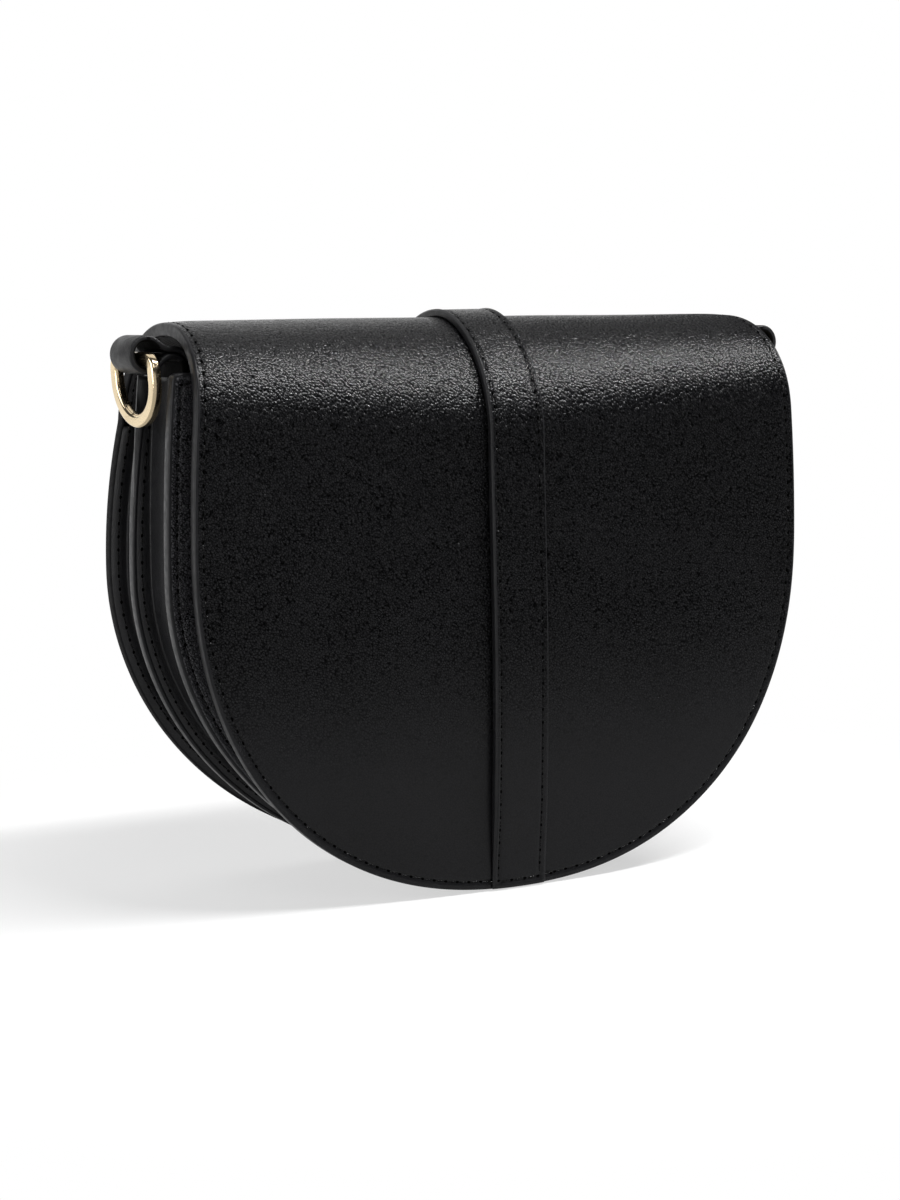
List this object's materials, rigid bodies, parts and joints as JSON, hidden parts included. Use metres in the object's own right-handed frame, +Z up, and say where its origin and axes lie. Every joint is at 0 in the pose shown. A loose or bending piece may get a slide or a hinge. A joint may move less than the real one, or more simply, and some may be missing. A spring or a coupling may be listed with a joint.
{
  "type": "shoulder bag",
  "caption": "Half-moon black leather shoulder bag with a rolled-over flap, a centre strap, gusseted compartments and side rings for a strap.",
  "frame": {"origin": "centre of the bounding box in X and Y, at the underside of the body panels", "axes": "+X along the width, to the right of someone facing the flap; -Y is the side the flap hangs on; +Z up to the rolled top"},
  "size_m": [0.227, 0.0714, 0.1769],
  "materials": {
    "black_leather": "fine pebbled grain, satin, with smooth painted edges",
    "dark_lining": "matte woven lining",
    "pale_gold": "polished plating",
    "snap_metal": "satin plating"
  },
  "bodies": {
    "body": {"back_panel": "black_leather", "back_lining": "dark_lining", "divider_panel": "dark_lining", "front_panel": "black_leather", "front_lining": "dark_lining", "rear_gusset": "black_leather", "front_gusset": "black_leather", "strap_back": "black_leather", "tab_left": "black_leather", "tab_right": "black_leather", "snap_socket": "snap_metal"},
    "flap": {"flap_panel": "black_leather", "flap_lining": "dark_lining", "strap_front": "black_leather", "snap_stud": "snap_metal"},
    "left_ring": {"d_ring_left": "pale_gold"},
    "right_ring": {"d_ring_right": "pale_gold"}
  },
  "joints": [
    {"name": "flap_hinge", "type": "hinge", "parent": "body", "child": "flap", "pos_m": [0, 0.0357, 0.144], "axis": [-1, 0, 0], "range_deg": [0, 150]},
    {"name": "left_ring_swing", "type": "hinge", "parent": "body", "child": "left_ring", "pos_m": [-0.1085, -0.002, 0.1635], "axis": [0, 1, 0], "range_deg": [-3, 110]},
    {"name": "right_ring_swing", "type": "hinge", "parent": "body", "child": "right_ring", "pos_m": [0.1085, -0.002, 0.1635], "axis": [0, -1, 0], "range_deg": [-3, 110]}
  ]
}
